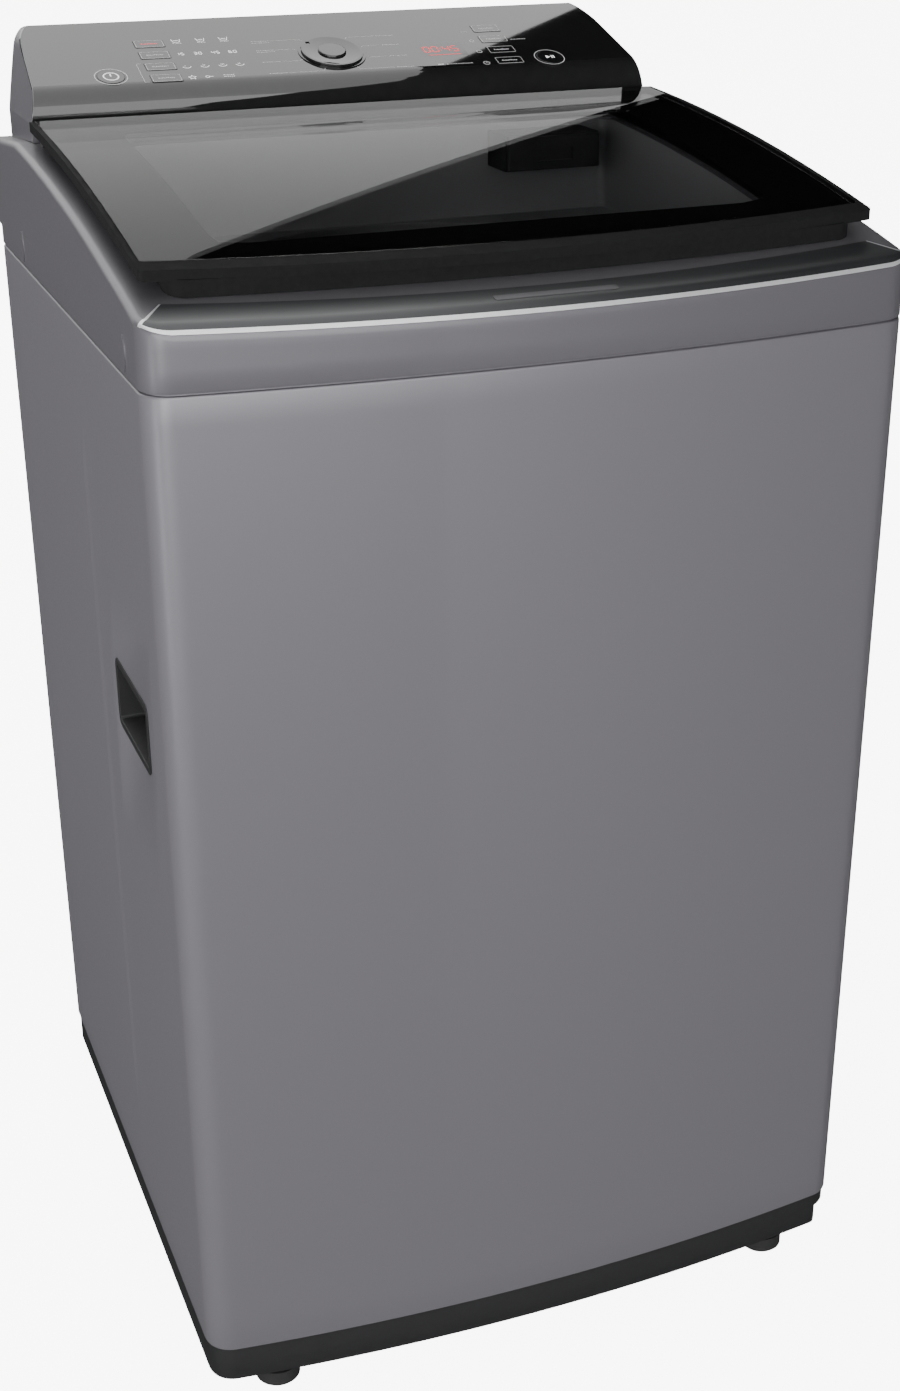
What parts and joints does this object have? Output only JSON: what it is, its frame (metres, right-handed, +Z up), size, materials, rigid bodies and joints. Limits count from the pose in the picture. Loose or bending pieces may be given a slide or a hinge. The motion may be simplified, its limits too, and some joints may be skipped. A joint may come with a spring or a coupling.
{
  "type": "top load washing machine",
  "caption": "Top load washing machine: bowed grey cabinet, smoked glass lid, sloping control panel, suspended tub with perforated drum and pulsator.",
  "frame": {"origin": "on the floor, under the middle of the machine's bounding box", "axes": "+Z up, the front of the machine faces -Y, +X is the user's right when facing the front"},
  "size_m": [0.5416, 0.5492, 0.9642],
  "materials": {
    "cabinet_paint": "satin metallic grey paint on steel sheet",
    "cover_paint": "satin metallic grey painted plastic",
    "galvanised_sheet": "matt zinc-coated sheet",
    "zinc_steel": "zinc plated",
    "drum_steel": "brushed stainless, perforated",
    "trim_metal": "dark brushed metallic with a bright front edge",
    "bright_metal": "bright",
    "smoked_glass": "toughened smoked glass with a printed black border",
    "display_glass": "dark red-tinted window",
    "gloss_black": "gloss black",
    "panel_black": "high gloss black",
    "black_plastic": "fine moulded texture",
    "grey_plastic": "satin moulded",
    "well_plastic": "satin moulded dark grey",
    "tub_plastic": "moulded polypropylene",
    "white_plastic": "moulded nylon",
    "board_green": "lacquered circuit board",
    "foot_rubber": "matt",
    "belt_rubber": "matt",
    "cast_alloy": "as cast",
    "motor_paint": "black lacquer"
  },
  "bodies": {
    "root": {"cabinet": "cabinet_paint", "rear_panel": "galvanised_sheet", "rear_panel_screws": "zinc_steel", "base_frame": "black_plastic", "rear_feet": "foot_rubber", "side_handles": "black_plastic", "top_cover": "cover_paint", "well_liner": "well_plastic", "mouth_collar": "well_plastic", "front_trim": "trim_metal", "front_badge": "bright_metal", "screw_caps": "cover_paint", "lid_hinge_brackets": "black_plastic", "console_housing": "cover_paint", "console_fascia": "panel_black", "display_window": "display_glass", "control_board": "board_green", "dispenser_housing": "black_plastic", "inlet_valves": "white_plastic", "water_duct": "white_plastic", "pressure_sensor": "white_plastic", "suspension_rods": "zinc_steel", "suspension_springs": "zinc_steel", "drain_outlet": "black_plastic", "cord_gland": "foot_rubber", "lid_lock": "white_plastic"},
    "foot_front_left": {"foot_front_left": "foot_rubber"},
    "foot_front_right": {"foot_front_right": "foot_rubber"},
    "lid": {"lid_frame": "gloss_black", "lid_glass": "smoked_glass", "lid_hinge_pins": "zinc_steel", "lid_bumpers": "foot_rubber"},
    "program_knob": {"program_knob": "panel_black"},
    "power_button": {"power_button": "panel_black"},
    "start_button": {"start_button": "panel_black"},
    "detergent_drawer": {"detergent_drawer": "grey_plastic"},
    "tub": {"outer_tub": "tub_plastic", "tub_cover_ring": "tub_plastic", "gearbox": "cast_alloy", "support_plate": "zinc_steel", "motor": "motor_paint", "drive_belt": "belt_rubber", "drain_pump": "white_plastic"},
    "drum": {"wash_drum": "drum_steel", "balance_ring": "grey_plastic", "lint_filters": "grey_plastic", "spin_shaft": "zinc_steel"},
    "pulsator": {"pulsator": "grey_plastic", "pulsator_screw": "zinc_steel", "wash_shaft": "zinc_steel", "drive_pulley": "cast_alloy"},
    "motor_pulley": {"motor_pulley": "zinc_steel"},
    "option_button_left_1": {"option_button_left_1": "panel_black"},
    "option_button_left_2": {"option_button_left_2": "panel_black"},
    "option_button_left_3": {"option_button_left_3": "panel_black"},
    "option_button_left_4": {"option_button_left_4": "panel_black"},
    "option_button_right_1": {"option_button_right_1": "panel_black"},
    "option_button_right_2": {"option_button_right_2": "panel_black"},
    "option_button_right_3": {"option_button_right_3": "panel_black"},
    "option_button_right_4": {"option_button_right_4": "panel_black"}
  },
  "joints": [
    {"name": "lid_hinge", "type": "hinge", "parent": "root", "child": "lid", "pos_m": [0, 0.131, 0.897], "axis": [-1, 0, 0], "range_deg": [0, 80]},
    {"name": "foot_front_left_screw", "type": "slide", "parent": "root", "child": "foot_front_left", "axis": [0, 0, 1], "range_m": [-0.012, 0]},
    {"name": "foot_front_right_screw", "type": "slide", "parent": "root", "child": "foot_front_right", "axis": [0, 0, 1], "range_m": [-0.012, 0]},
    {"name": "program_knob_turn", "type": "hinge", "parent": "root", "child": "program_knob", "pos_m": [-0.0035, 0.18408, 0.93988], "axis": [0, -0.3502, 0.9367], "continuous": true},
    {"name": "detergent_drawer_slide", "type": "slide", "parent": "root", "child": "detergent_drawer", "axis": [0, -1, 0], "range_m": [0, 0.07]},
    {"name": "tub_bounce", "type": "slide", "parent": "root", "child": "tub", "axis": [0, 0, 1], "range_m": [-0.018, 0.018], "stiffness_N_per_m": 16000, "springref_m": 0.01698, "deforming": ["suspension_springs"]},
    {"name": "drum_spin", "type": "hinge", "parent": "tub", "child": "drum", "pos_m": [0, -0.03, 0.45], "axis": [0, 0, 1], "continuous": true},
    {"name": "pulsator_spin", "type": "hinge", "parent": "tub", "child": "pulsator", "pos_m": [0, -0.03, 0.22], "axis": [0, 0, 1], "continuous": true},
    {"name": "motor_pulley_spin", "type": "hinge", "parent": "tub", "child": "motor_pulley", "pos_m": [-0.128, -0.03, 0.072], "axis": [0, 0, 1], "continuous": true},
    {"name": "power_button_press", "type": "slide", "parent": "root", "child": "power_button", "axis": [0, 0.3502, -0.9367], "range_m": [0, 0.0012], "stiffness_N_per_m": 800, "springref_m": -0.0006},
    {"name": "start_button_press", "type": "slide", "parent": "root", "child": "start_button", "axis": [0, 0.3502, -0.9367], "range_m": [0, 0.0012], "stiffness_N_per_m": 800, "springref_m": -0.0006},
    {"name": "option_button_left_1_press", "type": "slide", "parent": "root", "child": "option_button_left_1", "axis": [0, 0.3502, -0.9367], "range_m": [0, 0.0012], "stiffness_N_per_m": 800, "springref_m": -0.0006},
    {"name": "option_button_left_2_press", "type": "slide", "parent": "root", "child": "option_button_left_2", "axis": [0, 0.3502, -0.9367], "range_m": [0, 0.0012], "stiffness_N_per_m": 800, "springref_m": -0.0006},
    {"name": "option_button_left_3_press", "type": "slide", "parent": "root", "child": "option_button_left_3", "axis": [0, 0.3502, -0.9367], "range_m": [0, 0.0012], "stiffness_N_per_m": 800, "springref_m": -0.0006},
    {"name": "option_button_left_4_press", "type": "slide", "parent": "root", "child": "option_button_left_4", "axis": [0, 0.3502, -0.9367], "range_m": [0, 0.0012], "stiffness_N_per_m": 800, "springref_m": -0.0006},
    {"name": "option_button_right_1_press", "type": "slide", "parent": "root", "child": "option_button_right_1", "axis": [0, 0.3502, -0.9367], "range_m": [0, 0.0012], "stiffness_N_per_m": 800, "springref_m": -0.0006},
    {"name": "option_button_right_2_press", "type": "slide", "parent": "root", "child": "option_button_right_2", "axis": [0, 0.3502, -0.9367], "range_m": [0, 0.0012], "stiffness_N_per_m": 800, "springref_m": -0.0006},
    {"name": "option_button_right_3_press", "type": "slide", "parent": "root", "child": "option_button_right_3", "axis": [0, 0.3502, -0.9367], "range_m": [0, 0.0012], "stiffness_N_per_m": 800, "springref_m": -0.0006},
    {"name": "option_button_right_4_press", "type": "slide", "parent": "root", "child": "option_button_right_4", "axis": [0, 0.3502, -0.9367], "range_m": [0, 0.0012], "stiffness_N_per_m": 800, "springref_m": -0.0006}
  ],
  "couplings": [
    {"joint": "motor_pulley_spin", "follows": "pulsator_spin", "ratio": 4.9855}
  ]
}
